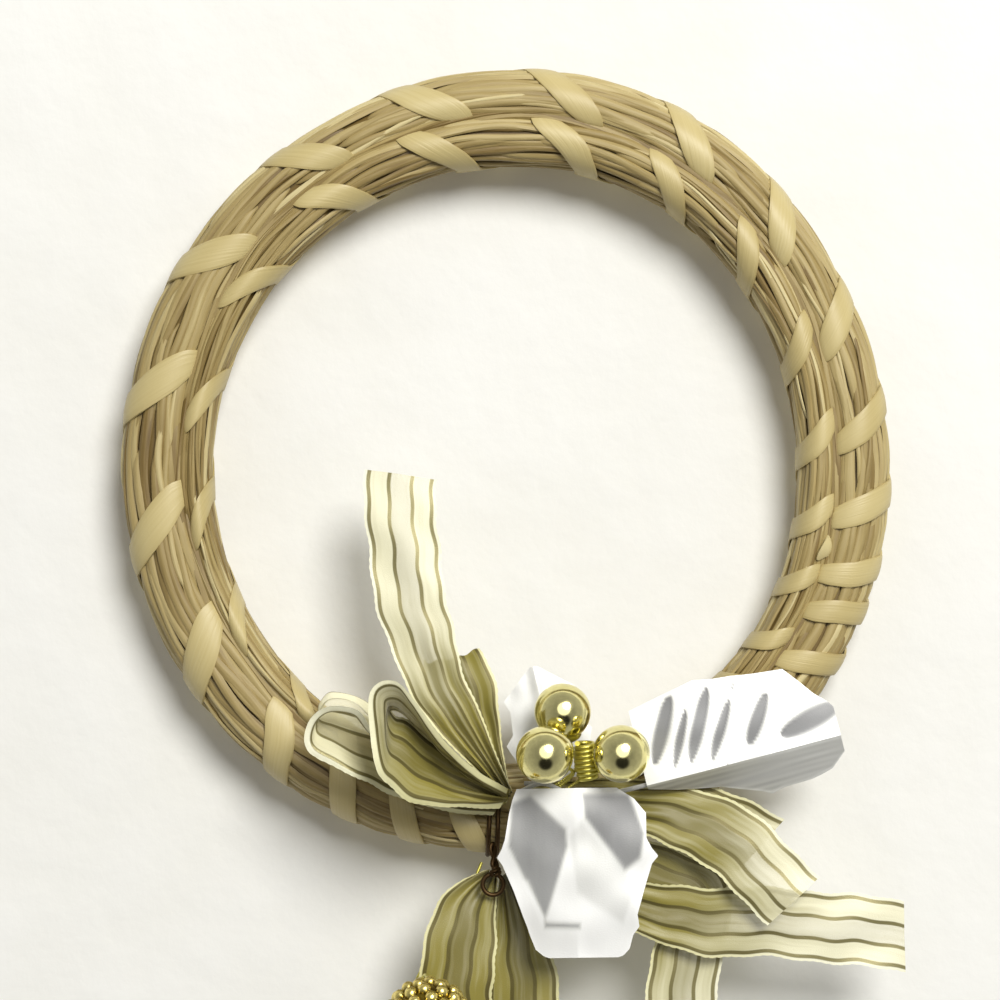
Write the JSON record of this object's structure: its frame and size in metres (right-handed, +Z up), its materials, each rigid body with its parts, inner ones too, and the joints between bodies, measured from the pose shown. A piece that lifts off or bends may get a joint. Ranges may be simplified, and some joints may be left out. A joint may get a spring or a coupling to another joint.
{
  "type": "sweetgrass wreath ornament",
  "caption": "Small hanging wreath of bound dry grass with a wired bow of sheer ribbon, satin holly leaves, gold berries and a gilt cone.",
  "frame": {"origin": "the nail's bearing point on the inside of the ring's top, where the wreath hangs", "axes": "+Z up as it hangs, -Y out of the wreath's front towards the viewer, +X to the viewer's right"},
  "size_m": [0.1517, 0.0432, 0.2175],
  "materials": {
    "grass": "dry grass stalks laid lengthwise, matt to waxy, honey to brown",
    "straw": "flat pale straw strip with fine lengthwise grain, low sheen",
    "wire": "dark brown lacquered florist wire",
    "organza": "sheer cream organza with four olive-gold metallic lines",
    "satin": "stiffened silver-white satin with pressed veins",
    "berry_gold": "mirror-bright gold metallising on light plastic",
    "stalk_gold": "thin gold-wrapped wire",
    "cone_gold": "gilt paint on a knobbly light cone, bright on the knobs"
  },
  "bodies": {
    "root": {"grass_coil_outer": "grass", "grass_coil_inner": "grass", "binding_strip_outer": "straw", "binding_strip_inner": "straw", "florist_wire": "wire", "ribbon_loop_back": "organza", "ribbon_loop_front": "organza", "ribbon_loop_left": "organza", "ribbon_tail_upright": "organza", "ribbon_tail_right": "organza", "ribbon_end_short": "organza", "ribbon_tail_level": "organza", "ribbon_tail_long": "organza", "ribbon_tail_low_left": "organza", "ribbon_tail_low_middle": "organza", "leaf_right": "satin", "leaf_lower": "satin", "leaf_upper": "satin", "berry_top": "berry_gold", "berry_left": "berry_gold", "berry_right": "berry_gold", "berry_stalk_top": "stalk_gold", "berry_stalk_left": "stalk_gold", "berry_stalk_right": "stalk_gold", "cone_stalk": "stalk_gold", "gilt_cone": "cone_gold"}
  },
  "joints": []
}
